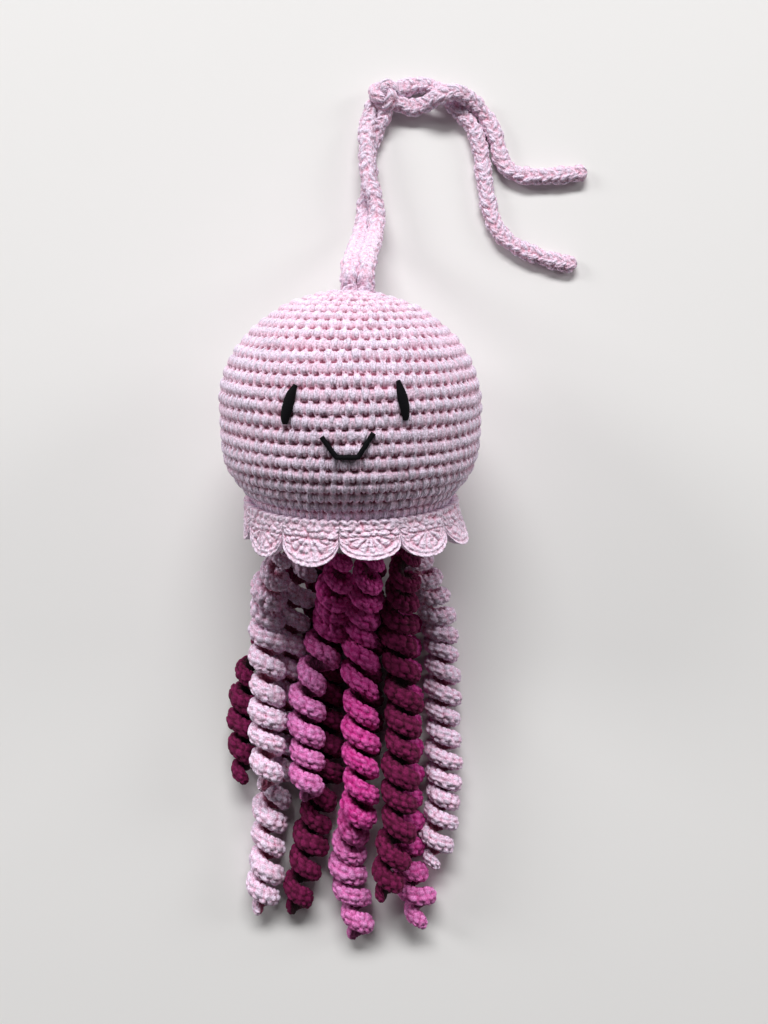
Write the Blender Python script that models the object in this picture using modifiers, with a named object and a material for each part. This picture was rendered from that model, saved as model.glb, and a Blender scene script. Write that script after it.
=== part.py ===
"""A crocheted jellyfish toy, lying on its back.

The stuffed head lies on a small flat spot at the origin and looks up, along +Z. Its crown, with two tied
ribbons, points along +Y, and ten curly tentacles lie along -Y in two layers. All sizes are in metres.
"""

import math

import bmesh
import bpy
from mathutils import Vector

# Head: a stuffed, crocheted body of revolution about its own axis, from the crown down to the base disc
BODY_RADIUS = 0.0546
CROWN_HEIGHT = 0.0470
BASE_RADIUS = 0.0420
BASE_DEPTH = 0.0420
BASE_EDGE = 0.0025
NECK_FULLNESS = 2.4
BODY_TILT = math.radians(13)
REST_HEIGHT = 0.0548
ROUND_HEIGHT = 0.0052
STITCH_RELIEF = 0.0012
BODY_STEPS = 30

# Frill: a scalloped skirt worked round the base
SCALLOPS = 12
SCALLOP_TURN = math.radians(-4)
FRILL_THICKNESS = 0.0024
FRILL_START = 0.0405
FRILL_REACH = 0.0150
FRILL_FLARE = 0.0028
SCALLOP_DEPTH = 0.0042
SCALLOP_STEPS = 6
FRILL_WAVE = 0.0010
FRILL_ROWS = (0, 0.45, 1)
FRILL_CURL = 1.5
FLOOR_CLEARANCE = 0.0001

# Face: satin stitch eyes and a mouth of three straight stitches, placed by turn from the front and height
EYE_TURN = math.radians(22.4)
EYE_HEIGHT = 0.0066
EYE_LENGTH = 0.0160
EYE_HALF_WIDTH = 0.0024
EYE_BOW = math.radians(2.6)
EYE_RELIEF = 0.0014
EYE_TIP = 0.4
MOUTH_CORNERS = (math.radians(-9.7), math.radians(10.4))
MOUTH_CORNER_HEIGHT = -0.0048
MOUTH_BOTTOM = (math.radians(-3.7), math.radians(4.6))
MOUTH_BOTTOM_HEIGHT = -0.0131
MOUTH_HALF_WIDTH = 0.0010
MOUTH_RELIEF = 0.0011
PAD_SHOULDER = (0.6, 0.8)

# Tentacles: crocheted strips that curl into left-handed coils
COIL_RADIUS = 0.0083
COIL_CORE = 0.0012
STRIP_THICKNESS = 0.0074
SLIM_STRIP = 0.2
STRIP_SHOULDER = 0.66
COIL_PITCH = 0.0118
FINE_PITCH = 0.0098
COIL_STEPS = 5.5
ROOT_COIL_RADIUS = 0.0046
OPENING_LENGTH = 0.050
TIP_LENGTH = 0.012
TIP_SHARE = 0.55
ROOT_MARGIN = 0.0120
LANE_GAP = 0.0005
MIDDLE_LANE = 2.625
MIDDLE_LANE_X = -0.0040
TENTACLE_REACH = 0.200
SPREAD_SHARE = 0.30

# Ties: two crocheted ribbons from the crown, knotted together once
RIBBON_RADIUS = 0.0028
RIBBON_POINT_SPACING = 0.009
KNOT_PLACE = (0.0139, 0.1501, 0.0064)
KNOT_RADIUS = 0.0064
KNOT_SIDES = 12
KNOT_RINGS = 7

# Clearance between pieces that are sewn to each other
SEAT_GAP = 0.0003

LANE_WIDTH = 2 * COIL_RADIUS + LANE_GAP

# How finely curves are sampled before points are spaced along them
CURVE_STEPS = 16
OUTLINE_STEPS = 60

LIGHT_PINK = (0.88, 0.60, 0.67)
PALE_PINK = (0.87, 0.69, 0.77)
ROSE_PINK = (0.86, 0.50, 0.58)
HOT_PINK = (0.65, 0.06, 0.28)
DARK_MAGENTA = (0.18, 0.012, 0.07)
BLACK_THREAD = (0.012, 0.011, 0.013)

# name: colour, turn of its root round the base in degrees, pitch, and its course over the floor. Each stop of
# a course is (share of the longest reach, lane, height above the floor row in lanes). The last is the tip.
TENTACLES = {
    "tentacle_01": (DARK_MAGENTA, 180, COIL_PITCH, [(SPREAD_SHARE, 0.00, 0.00), (0.63, -0.10, 0.00)]),
    "tentacle_02": (PALE_PINK, 144, COIL_PITCH, [(SPREAD_SHARE, 0.60, 0.92), (0.63, 0.61, 0.93)]),
    "tentacle_03": (
        PALE_PINK,
        216,
        COIL_PITCH,
        [(SPREAD_SHARE, 1.05, 0.00), (0.575, 1.05, 0.00), (0.75, 0.68, 0.00), (0.94, 0.50, 0.00)],
    ),
    "tentacle_04": (
        HOT_PINK,
        108,
        COIL_PITCH,
        [(SPREAD_SHARE, 1.72, 0.88), (0.475, 1.63, 0.87), (0.655, 1.66, 0.87)],
    ),
    "tentacle_05": (
        DARK_MAGENTA,
        252,
        COIL_PITCH,
        [(SPREAD_SHARE, 2.15, 0.00), (0.59, 2.12, 0.00), (0.775, 1.72, 0.00), (0.94, 1.54, 0.00)],
    ),
    "tentacle_06": (
        HOT_PINK,
        72,
        COIL_PITCH,
        [(SPREAD_SHARE, 3.05, 1.00), (0.63, 3.07, 1.00), (0.825, 2.68, 0.03), (1.00, 2.86, 0.00)],
    ),
    "tentacle_07": (DARK_MAGENTA, 288, COIL_PITCH, [(SPREAD_SHARE, 3.17, 0.00), (0.61, 3.12, 0.00)]),
    "tentacle_08": (
        DARK_MAGENTA,
        36,
        COIL_PITCH,
        [(SPREAD_SHARE, 4.06, 1.00), (0.425, 4.20, 1.00), (0.675, 4.08, 1.00), (0.88, 3.76, 0.84)],
    ),
    "tentacle_09": (
        HOT_PINK,
        324,
        COIL_PITCH,
        [(SPREAD_SHARE, 4.22, 0.00), (0.775, 4.28, 0.00), (0.965, 4.66, 0.00)],
    ),
    "tentacle_10": (
        PALE_PINK,
        0,
        FINE_PITCH,
        [(SPREAD_SHARE, 5.27, 0.00), (0.70, 5.32, 0.00), (0.83, 5.30, 0.00)],
    ),
}

# Routes of the ribbons, each a list of points chosen along its middle
STRAP_OVER = (
    (0.0062, 0.0466, 0.0655),
    (0.0064, 0.0520, 0.0660),
    (0.0074, 0.0600, 0.0596),
    (0.0088, 0.0680, 0.0440),
    (0.0102, 0.0765, 0.0270),
    (0.0114, 0.0865, 0.0130),
    (0.0110, 0.0960, 0.0096),
    (0.0086, 0.1045, 0.0096),
    (0.0060, 0.1115, 0.0092),
    (0.0044, 0.1190, 0.0084),
    (0.0040, 0.1265, 0.0076),
    (0.0050, 0.1335, 0.0062),
    (0.0066, 0.1400, 0.0050),
    (0.0081, 0.1451, 0.0047),
)
STRAP_UNDER = (
    (0.0000, 0.0470, 0.0656),
    (0.0000, 0.0520, 0.0660),
    (0.0002, 0.0600, 0.0581),
    (0.0006, 0.0680, 0.0420),
    (0.0010, 0.0765, 0.0240),
    (0.0022, 0.0865, 0.0090),
    (0.0042, 0.0970, 0.0034),
    (0.0068, 0.1070, 0.0029),
    (0.0083, 0.1170, 0.0029),
    (0.0088, 0.1260, 0.0029),
    (0.0105, 0.1345, 0.0031),
    (0.0143, 0.1431, 0.0046),
)
TAIL_OVER = (
    (0.0201, 0.1478, 0.0048),
    (0.0267, 0.1464, 0.0034),
    (0.0330, 0.1472, 0.0048),
    (0.0400, 0.1492, 0.0096),
    (0.0475, 0.1508, 0.0098),
    (0.0548, 0.1486, 0.0056),
    (0.0610, 0.1434, 0.0029),
    (0.0653, 0.1364, 0.0029),
    (0.0676, 0.1291, 0.0029),
    (0.0693, 0.1224, 0.0029),
    (0.0736, 0.1167, 0.0029),
    (0.0806, 0.1143, 0.0029),
    (0.0896, 0.1140, 0.0029),
    (0.1000, 0.1147, 0.0029),
    (0.1101, 0.1159, 0.0029),
)
TAIL_UNDER = (
    (0.0194, 0.1537, 0.0048),
    (0.0262, 0.1564, 0.0032),
    (0.0328, 0.1570, 0.0029),
    (0.0389, 0.1548, 0.0029),
    (0.0444, 0.1501, 0.0029),
    (0.0495, 0.1450, 0.0029),
    (0.0542, 0.1396, 0.0029),
    (0.0576, 0.1335, 0.0029),
    (0.0596, 0.1262, 0.0029),
    (0.0607, 0.1186, 0.0029),
    (0.0617, 0.1108, 0.0029),
    (0.0632, 0.1019, 0.0029),
    (0.0655, 0.0933, 0.0029),
    (0.0703, 0.0857, 0.0029),
    (0.0779, 0.0801, 0.0029),
    (0.0869, 0.0763, 0.0029),
    (0.0963, 0.0734, 0.0029),
    (0.1053, 0.0720, 0.0029),
)


def clear_scene():
    for obj in list(bpy.data.objects):
        bpy.data.objects.remove(obj, do_unlink=True)


def new_collection(name):
    collection = bpy.data.collections.new(name)
    bpy.context.scene.collection.children.link(collection)
    return collection


def move_to(obj, collection):
    for owner in list(obj.users_collection):
        owner.objects.unlink(obj)
    collection.objects.link(obj)


def yarn(name, colour, roughness=0.9):
    material = bpy.data.materials.new(name)
    material.use_nodes = True
    shader = material.node_tree.nodes["Principled BSDF"]
    shader.inputs["Base Color"].default_value = (*colour, 1)
    shader.inputs["Roughness"].default_value = roughness
    shader.inputs["Metallic"].default_value = 0
    return material


def mesh_object(name, points, faces, material, collection, parent=None, edges=()):
    mesh = bpy.data.meshes.new(name)
    mesh.from_pydata(points, edges, faces)
    shape = bmesh.new()
    shape.from_mesh(mesh)
    bmesh.ops.recalc_face_normals(shape, faces=shape.faces)
    shape.to_mesh(mesh)
    shape.free()
    mesh.shade_smooth()
    mesh.materials.append(material)
    obj = bpy.data.objects.new(name, mesh)
    obj.parent = parent
    collection.objects.link(obj)
    return obj


def steps(start, end, count):
    return [start + (end - start) * step / count for step in range(count + 1)]


def loft(rings):
    """Points and faces of a closed solid through rings of equal size, with a flat cap on each end."""
    size = len(rings[0])
    points = [point for ring in rings for point in ring]
    faces = [tuple(reversed(range(size)))]
    for row in range(len(rings) - 1):
        for side in range(size):
            start, end = row * size + side, row * size + (side + 1) % size
            faces.append((start, end, end + size, start + size))
    faces.append(tuple(range(len(points) - size, len(points))))
    return points, faces


def smooth_curve(stops, spacing):
    """Points about spacing apart on a Catmull-Rom curve through the stops."""
    stops = [Vector(stop) for stop in stops]
    ends = [2 * stops[0] - stops[1]] + stops + [2 * stops[-1] - stops[-2]]
    fine = [stops[0]]
    for a, b, c, d in zip(ends, ends[1:], ends[2:], ends[3:]):
        square = 2 * a - 5 * b + 4 * c - d
        cube = 3 * b - a - 3 * c + d
        for step in range(1, CURVE_STEPS + 1):
            t = step / CURVE_STEPS
            fine.append(b + (t * (c - a) + t**2 * square + t**3 * cube) / 2)
    along = [0.0]
    for a, b in zip(fine, fine[1:]):
        along.append(along[-1] + (b - a).length)
    count = max(2, round(along[-1] / spacing) + 1)
    points = []
    index = 0
    for step in range(count):
        target = along[-1] * step / (count - 1)
        while index < len(along) - 2 and along[index + 1] < target:
            index += 1
        share = (target - along[index]) / (along[index + 1] - along[index])
        points.append(fine[index].lerp(fine[index + 1], share))
    return points


def ease(t):
    t = min(1, max(0, t))
    return t * t * (3 - 2 * t)


def body_radius(height):
    """Radius of the head at a height on its axis, measured from its widest round."""
    if height >= 0:
        return BODY_RADIUS * math.sqrt(max(0, 1 - (height / CROWN_HEIGHT) ** 2))
    depth = min(1, -height / BASE_DEPTH) ** NECK_FULLNESS
    return BASE_RADIUS + (BODY_RADIUS - BASE_RADIUS) * (1 + math.cos(math.pi * depth)) / 2


def on_body(turn, height, proud=0.0):
    """The point on the head at a turn from the front and a height, in the head's own frame."""
    radius = body_radius(height) + proud
    return Vector((radius * math.sin(turn), -radius * math.cos(turn), height))


def body_outline():
    """The turned profile: one ridge for each crocheted round, from the crown to the base's edge."""
    crown_heights = [CROWN_HEIGHT * math.cos(t) for t in steps(0, math.pi / 2, OUTLINE_STEPS)]
    upper = [(body_radius(height), height) for height in crown_heights]
    lower = [(body_radius(height), height) for height in steps(0, -BASE_DEPTH, OUTLINE_STEPS)][1:]
    fine = upper + lower
    along = [0.0]
    for a, b in zip(fine, fine[1:]):
        along.append(along[-1] + math.dist(a, b))
    rounds = round(along[-1] / ROUND_HEIGHT)
    outline = [(0.0, CROWN_HEIGHT)]
    index = 0
    for half in range(1, 2 * rounds + 1):
        target = along[-1] * half / (2 * rounds)
        while index < len(along) - 2 and along[index + 1] < target:
            index += 1
        a, b = fine[index], fine[index + 1]
        share = (target - along[index]) / (along[index + 1] - along[index])
        inset = STITCH_RELIEF if half % 2 == 0 and half < 2 * rounds else 0
        normal = Vector((a[1] - b[1], b[0] - a[0])).normalized()
        radius = a[0] + (b[0] - a[0]) * share - inset * normal.x
        outline.append((radius, a[1] + (b[1] - a[1]) * share - inset * normal.y))
    outline.append((BASE_RADIUS - BASE_EDGE, -BASE_DEPTH - BASE_EDGE))
    outline.append((0.0, -BASE_DEPTH - BASE_EDGE))
    return outline


def make_body(collection, cutters, frame, material):
    outline = body_outline()
    points = [(radius, 0, height) for radius, height in outline]
    edges = [(i, i + 1) for i in range(len(points) - 1)]
    body = mesh_object("body", points, [], material, collection, frame, edges)
    screw = body.modifiers.new("turned", "SCREW")
    screw.steps = BODY_STEPS
    screw.render_steps = BODY_STEPS
    screw.use_merge_vertices = True
    screw.merge_threshold = 0.00001

    bpy.ops.mesh.primitive_cube_add(size=1, location=(0, 0, -0.5))
    ground = bpy.context.object
    ground.name = "flat_spot_cutter"
    ground.hide_render = True
    ground.display_type = "WIRE"
    move_to(ground, cutters)
    flat = body.modifiers.new("flat_spot", "BOOLEAN")
    flat.operation = "DIFFERENCE"
    flat.object = ground


def above_floor(point, least):
    """A point in the head's frame, raised where needed so that it lies at least that high above the floor."""
    up = Vector((0, -math.cos(BODY_TILT), math.sin(BODY_TILT)))
    lift = least - (REST_HEIGHT + point.dot(up))
    return point + max(0, lift) * up


def make_frill(collection, frame, material):
    """A sheet of three rings, the last one scalloped, with the thickness of the crocheted fabric."""
    columns = SCALLOPS * SCALLOP_STEPS
    half = FRILL_THICKNESS / 2
    points = []
    for share in FRILL_ROWS:
        for column in range(columns):
            turn = SCALLOP_TURN + 2 * math.pi * column / columns
            arch = abs(math.sin(math.pi * column / SCALLOP_STEPS))
            reach = share * (FRILL_REACH - SCALLOP_DEPTH * (1 - arch))
            wave = FRILL_WAVE * share * (2 * arch - 1)
            radius = body_radius(-FRILL_START) + SEAT_GAP + half + FRILL_FLARE * share**FRILL_CURL + wave
            point = Vector((radius * math.sin(turn), -radius * math.cos(turn), -FRILL_START - reach))
            points.append(above_floor(point, half + FLOOR_CLEARANCE))
    faces = []
    for row in range(len(FRILL_ROWS) - 1):
        for column in range(columns):
            start, end = row * columns + column, row * columns + (column + 1) % columns
            faces.append((start, start + columns, end + columns, end))
    frill = mesh_object("frill", points, faces, material, collection, frame)
    solidify = frill.modifiers.new("fabric", "SOLIDIFY")
    solidify.thickness = FRILL_THICKNESS
    solidify.offset = 0


def thread_pad(name, middles, half_widths, relief, collection, frame, material):
    """A low domed pad of thread along a line of (turn, height) places on the head."""
    shoulder, shoulder_height = PAD_SHOULDER
    places = [on_body(turn, height, SEAT_GAP) for turn, height in middles]
    rings = []
    for index, place in enumerate(places):
        ahead = places[min(index + 1, len(places) - 1)] - places[max(index - 1, 0)]
        outward = Vector((place.x, place.y, 0)).normalized()
        across = ahead.cross(outward).normalized()
        outward = across.cross(ahead).normalized()
        width = half_widths[index]
        height = relief * (1 + width / max(half_widths)) / 2
        ring = [
            place + across * width,
            place + across * shoulder * width + outward * shoulder_height * height,
            place + outward * height,
            place - across * shoulder * width + outward * shoulder_height * height,
            place - across * width,
        ]
        rings.append(ring)
    points, faces = loft(rings)
    mesh_object(name, points, faces, material, collection, frame)


def make_eye(name, side, collection, frame, material):
    middles = []
    widths = []
    for t in steps(-1, 1, 6):
        middles.append((side * (EYE_TURN + EYE_BOW * (0.5 - t**2)), EYE_HEIGHT + t * EYE_LENGTH / 2))
        widths.append(EYE_HALF_WIDTH * (EYE_TIP + (1 - EYE_TIP) * math.sqrt(1 - t**2)))
    thread_pad(name, middles, widths, EYE_RELIEF, collection, frame, material)


def make_mouth(collection, frame, material):
    corners = [(turn, MOUTH_CORNER_HEIGHT) for turn in MOUTH_CORNERS]
    bottom = [(turn, MOUTH_BOTTOM_HEIGHT) for turn in MOUTH_BOTTOM]
    middles = [corners[0], bottom[0], bottom[1], corners[1]]
    widths = [MOUTH_HALF_WIDTH] * len(middles)
    thread_pad("mouth", middles, widths, MOUTH_RELIEF, collection, frame, material)


def base_point(turn, radius, depth):
    """A point in world space below the base disc: depth is measured along the head's axis from the disc."""
    centre = Vector((0, 0, REST_HEIGHT))
    down = Vector((0, -math.cos(BODY_TILT), -math.sin(BODY_TILT)))
    front = Vector((0, -math.sin(BODY_TILT), math.cos(BODY_TILT)))
    across = Vector((1, 0, 0))
    out = across * math.cos(turn) + front * math.sin(turn)
    return centre + down * (BASE_DEPTH + BASE_EDGE + depth) + out * radius


def course_point(reached, stops):
    """The middle of a tentacle's coil at a share of the longest reach, eased between the course's stops."""
    y = base_point(0, 0, 0).y - reached * TENTACLE_REACH
    for (near, lane_a, level_a), (far, lane_b, level_b) in zip(stops, stops[1:]):
        if reached <= far or far == stops[-1][0]:
            share = ease((reached - near) / (far - near))
            lane = lane_a + (lane_b - lane_a) * share
            level = level_a + (level_b - level_a) * share
            x = MIDDLE_LANE_X + (lane - MIDDLE_LANE) * LANE_WIDTH
            return Vector((x, y, COIL_RADIUS + level * LANE_WIDTH))


def strip_half(reach):
    """Half the strip's thickness along the coil, less where the coil is slim."""
    return STRIP_THICKNESS / 2 * min(1, reach / COIL_RADIUS + SLIM_STRIP)


def tentacle_axis(root_turn, stops):
    """Points down the middle of the coil: out of the base disc, down to its place and along its course."""
    depth = strip_half(ROOT_COIL_RADIUS) + SEAT_GAP
    root = base_point(math.radians(root_turn), BASE_RADIUS - ROOT_MARGIN, depth)
    along = base_point(math.radians(root_turn), BASE_RADIUS - ROOT_MARGIN, SPREAD_SHARE * TENTACLE_REACH)
    tip = stops[-1][0]
    points = []
    for reached in steps(0, tip, OUTLINE_STEPS):
        start = root.lerp(along, reached / SPREAD_SHARE)
        points.append(start.lerp(course_point(reached, stops), ease(reached / SPREAD_SHARE)))
    return points


def make_tentacle(name, colour, root_turn, pitch, stops, collection):
    """A strip swept along a left-handed helix about the tentacle's axis, opened out near its root."""
    axis = tentacle_axis(root_turn, stops)
    along = [0.0]
    for a, b in zip(axis, axis[1:]):
        along.append(along[-1] + (b - a).length)
    length = along[-1]
    rings = []
    index = 0
    count = round(COIL_STEPS * length / pitch)
    for step in range(count + 1):
        distance = length * step / count
        while index < len(along) - 2 and along[index + 1] < distance:
            index += 1
        share = (distance - along[index]) / (along[index + 1] - along[index])
        middle = axis[index].lerp(axis[index + 1], share)
        ahead = (axis[index + 1] - axis[index]).normalized()
        side = Vector((0, 0, 1)).cross(ahead).normalized()
        up = ahead.cross(side)
        turn = -2 * math.pi * distance / pitch
        out = side * math.cos(turn) + up * math.sin(turn)
        reach = ROOT_COIL_RADIUS + (COIL_RADIUS - ROOT_COIL_RADIUS) * ease(distance / OPENING_LENGTH)
        reach *= TIP_SHARE + (1 - TIP_SHARE) * ease((length - distance) / TIP_LENGTH)
        crown = COIL_CORE + STRIP_SHOULDER * (reach - COIL_CORE)
        half = strip_half(reach)
        ring = [
            middle + out * COIL_CORE,
            middle + out * crown + ahead * half,
            middle + out * reach,
            middle + out * crown - ahead * half,
        ]
        rings.append(ring)
    points, faces = loft(rings)
    mesh_object(name, points, faces, yarn(f"{name}_yarn", colour), collection)


def make_ribbon(name, stops, collection, material):
    curve = bpy.data.curves.new(name, "CURVE")
    curve.dimensions = "3D"
    curve.bevel_depth = RIBBON_RADIUS
    curve.bevel_resolution = 2
    curve.use_fill_caps = True
    points = smooth_curve(stops, RIBBON_POINT_SPACING)
    spline = curve.splines.new("POLY")
    spline.points.add(len(points) - 1)
    for target, point in zip(spline.points, points):
        target.co = (*point, 1)
    curve.materials.append(material)
    collection.objects.link(bpy.data.objects.new(name, curve))


def make_knot(collection, material):
    bpy.ops.mesh.primitive_uv_sphere_add(segments=KNOT_SIDES, ring_count=KNOT_RINGS, radius=KNOT_RADIUS)
    knot = bpy.context.object
    knot.name = "tie_knot"
    knot.location = KNOT_PLACE
    knot.data.materials.append(material)
    knot.data.shade_smooth()
    move_to(knot, collection)


def main():
    clear_scene()
    parts = new_collection("jellyfish_toy")
    cutters = new_collection("cutters")
    cutters.hide_render = True

    frame = bpy.data.objects.new("head_frame", None)
    frame.location = (0, 0, REST_HEIGHT)
    frame.rotation_euler = (BODY_TILT - math.pi / 2, 0, 0)
    parts.objects.link(frame)

    head_yarn = yarn("head_yarn", LIGHT_PINK)
    tie_yarn = yarn("tie_yarn", ROSE_PINK)
    black = yarn("black_thread", BLACK_THREAD, 0.6)

    make_body(parts, cutters, frame, head_yarn)
    make_frill(parts, frame, head_yarn)
    make_eye("eye_left", -1, parts, frame, black)
    make_eye("eye_right", 1, parts, frame, black)
    make_mouth(parts, frame, black)
    for name, (colour, root_turn, pitch, stops) in TENTACLES.items():
        make_tentacle(name, colour, root_turn, pitch, stops, parts)
    make_ribbon("tie_strap_over", STRAP_OVER, parts, tie_yarn)
    make_ribbon("tie_strap_under", STRAP_UNDER, parts, tie_yarn)
    make_ribbon("tie_tail_over", TAIL_OVER, parts, tie_yarn)
    make_ribbon("tie_tail_under", TAIL_UNDER, parts, tie_yarn)
    make_knot(parts, tie_yarn)


main()
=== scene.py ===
import math

import bmesh
import bpy
import numpy as np
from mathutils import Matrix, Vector


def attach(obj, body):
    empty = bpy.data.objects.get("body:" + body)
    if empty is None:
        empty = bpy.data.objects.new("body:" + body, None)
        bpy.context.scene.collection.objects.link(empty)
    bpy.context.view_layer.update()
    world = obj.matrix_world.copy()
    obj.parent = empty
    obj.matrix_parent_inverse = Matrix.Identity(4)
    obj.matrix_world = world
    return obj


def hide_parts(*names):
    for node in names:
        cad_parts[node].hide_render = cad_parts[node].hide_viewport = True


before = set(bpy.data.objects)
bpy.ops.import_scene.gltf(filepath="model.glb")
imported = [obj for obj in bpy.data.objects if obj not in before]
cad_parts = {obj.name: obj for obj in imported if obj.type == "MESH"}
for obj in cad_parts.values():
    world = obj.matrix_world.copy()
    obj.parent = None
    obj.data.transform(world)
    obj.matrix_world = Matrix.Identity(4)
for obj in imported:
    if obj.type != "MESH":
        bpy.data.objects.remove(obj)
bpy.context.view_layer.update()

TAU = 2 * math.pi
FLOOR_GAP = 0.0001

# Head, in the part's own measures
BODY_RADIUS = 0.0546
CROWN_HEIGHT = 0.0470
BASE_RADIUS = 0.0420
BASE_DEPTH = 0.0420
BASE_EDGE = 0.0025
NECK_FULLNESS = 2.4
BODY_TILT = math.radians(13)
REST_HEIGHT = 0.0548
SEAT_GAP = 0.0003

# Head stitches
STITCHES = 72
ROUND_INCREASE = 6
BASE_DECREASE = 9
COLUMNS_PER_STITCH = 8
ROWS_PER_ROUND = 6
BASE_ROWS_PER_ROUND = 3
ROUND_HEIGHT = 0.0052
STITCH_DEPTH = 0.0021
STITCH_TOP = 0.0001
STITCH_SLANT = 0.14
STITCH_DRIFT = 0.35
HAND_TENSION = 0.00028
CROWN_FADE = 0.010
PROFILE_STEP = 0.0004
BASE_HOLE = 0.0005
HEAD_SEED = 5
TENSION_SEED = 11
DRIFT_SEED = 300
TENSION_ROWS = 200
TENSION_RANGE = (0.78, 1.10)
# A stitch's two lobes: place across, half width, level, half height and size, all in shares of a stitch
STITCH_LOBES = ((0.39, 0.43, 0.44, 0.53, 1.0), (0.87, 0.24, 0.53, 0.48, 0.84))

# Frill
SCALLOPS = 12
SCALLOP_TURN = math.radians(-4)
SCALLOP_LENGTHS = (0.86, 1, 1, 1, 1, 1, 1, 1, 1, 1, 1.13, 1.09)
SCALLOP_STEPS = 60
NOTCH_DEPTH = 0.0078
FRILL_THICKNESS = 0.0024
FRILL_START = 0.0405
FRILL_REACH = 0.0150
FRILL_FLARE = 0.0028
FRILL_WAVE = 0.0010
FRILL_CURL = 1.5
FRILL_OUTER_ROWS = 37
FRILL_INNER_ROWS = 12
NECK_STITCHES = 6
NECK_ROW = 0.15
NECK_SHARE = 0.40
SHELL_RELIEF = 0.0019
INNER_RELIEF = 0.0007
GATHER_DEPTH = 0.0012
FAN_CENTRE = 0.30
FAN_REACH = 0.58
POST_ANGLE = math.radians(27)
NECK_SEED = 77
INNER_SEED = 78
PLAIN_SEED = 79
FRILL_WANDER_SEED = 91
# The rim's two chains: distance from the edge, half width and slant of the chain's links
RIM_CHAINS = ((0.0023, 0.0010, 120), (0.0004, 0.0011, -120))

# Face: stops of an eye as turn in degrees, height and half width
EYE_STOPS = {
    "eye_left": [
        (-20.4, 0.0128, 0.0007), (-22.0, 0.0088, 0.0019), (-23.0, 0.0049, 0.0021), (-24.0, 0.0011, 0.0018),
        (-24.2, -0.0014, 0.0009),
    ],
    "eye_right": [
        (21.4, 0.0142, 0.0007), (22.2, 0.0096, 0.0018), (23.0, 0.0055, 0.0019), (23.4, 0.0022, 0.0015),
        (23.4, 0.0000, 0.0008),
    ],
}
EYE_DOME = 0.0014
MOUTH_CORNERS = (math.radians(-9.3), math.radians(10.6))
MOUTH_CORNER_HEIGHTS = (-0.0056, -0.0042)
MOUTH_BOTTOM = (math.radians(-3.7), math.radians(4.6))
MOUTH_BOTTOM_HEIGHT = -0.0131
MOUTH_HALF_WIDTH = 0.00095
MOUTH_DOME = 0.0012
THREAD_SINK = 0.0014
THREAD_RIDGE = 0.00012
THREAD_SIDES = 13
EYE_THREAD_SIDES = 17
EYE_STEP = 0.0003
MOUTH_STEPS = 15

# Tentacles
COIL_RADIUS = 0.0083
COIL_CORE = 0.0012
STRIP_THICKNESS = 0.0074
SLIM_STRIP = 0.2
COIL_PITCH = 0.0118
FINE_PITCH = 0.0098
ROOT_COIL_RADIUS = 0.0046
OPENING_LENGTH = 0.050
TIP_LENGTH = 0.012
TIP_ROUNDING = 0.0015
ROOT_ROUNDING = 0.0016
FULL_TIP_SHARE = 0.66
ROOT_MARGIN = 0.0120
LANE_WIDTH = 2 * COIL_RADIUS + 0.0005
MIDDLE_LANE = 2.625
MIDDLE_LANE_X = -0.0040
TENTACLE_REACH = 0.200
SPREAD_SHARE = 0.30
AXIS_STEPS = 240
LOOSE_LENGTH = 0.070
LOOSENING = 0.42
COIL_STITCHES = 12
POINTS_PER_STITCH = 6
COIL_ROWS = 9
COIL_RELIEF = 0.0026
COIL_FULLNESS = 1.14
COIL_LEAN = (0.14, 0.06)
COIL_SQUARENESS = 2.2
COIL_SEED = 40
# Waves along a coil: size and radians for each metre
UNEVEN_TURNS = ((0.34, 95), (0.24, 171))
UNEVEN_REACH = (0.06, 190)
UNEVEN_THICKNESS = (0.07, 240)
# How much of its length a slim coil takes to grow slim, and where it grows full again
SLIM_FROM = 0.2
FULL_FROM, FULL_OVER = 0.55, 0.16
TINGE_OVER = 0.22
# The strip's section has most of its points on the side that shows
SHOWN_ANGLE = 2.1
SHOWN_POINTS = 26
HIDDEN_POINTS = 5

# Yarn, root turn in degrees, pitch and course: share of the reach, lane and level
TENTACLES = {
    "tentacle_01": ("dark", 180, COIL_PITCH, [(0.30, 0.00, 0.00), (0.63, -0.10, 0.00)]),
    "tentacle_02": ("pale", 144, COIL_PITCH, [(0.30, 0.60, 0.92), (0.63, 0.61, 0.93)]),
    "tentacle_03": ("pale", 216, COIL_PITCH, [
        (0.30, 1.05, 0.00), (0.575, 1.05, 0.00), (0.75, 0.68, 0.00), (0.94, 0.50, 0.00),
    ]),
    "tentacle_04": ("hot", 108, COIL_PITCH, [(0.30, 1.72, 0.88), (0.475, 1.63, 0.87), (0.655, 1.66, 0.87)]),
    "tentacle_05": ("dark", 252, COIL_PITCH, [
        (0.30, 2.15, 0.00), (0.59, 2.12, 0.00), (0.775, 1.72, 0.00), (0.94, 1.54, 0.00),
    ]),
    "tentacle_06": ("hot", 72, COIL_PITCH, [
        (0.30, 3.05, 1.00), (0.63, 3.07, 1.00), (0.825, 2.68, 0.03), (1.00, 2.86, 0.00),
    ]),
    "tentacle_07": ("dark", 288, COIL_PITCH, [(0.30, 3.17, 0.00), (0.61, 3.12, 0.00)]),
    "tentacle_08": ("dark", 36, COIL_PITCH, [
        (0.30, 4.06, 1.00), (0.425, 4.20, 1.00), (0.675, 4.08, 1.00), (0.88, 3.76, 0.84),
    ]),
    "tentacle_09": ("hot", 324, COIL_PITCH, [(0.30, 4.22, 0.00), (0.775, 4.28, 0.00), (0.965, 4.66, 0.00)]),
    "tentacle_10": ("pale", 0, FINE_PITCH, [(0.30, 5.27, 0.00), (0.70, 5.32, 0.00), (0.83, 5.30, 0.00)]),
}

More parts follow.
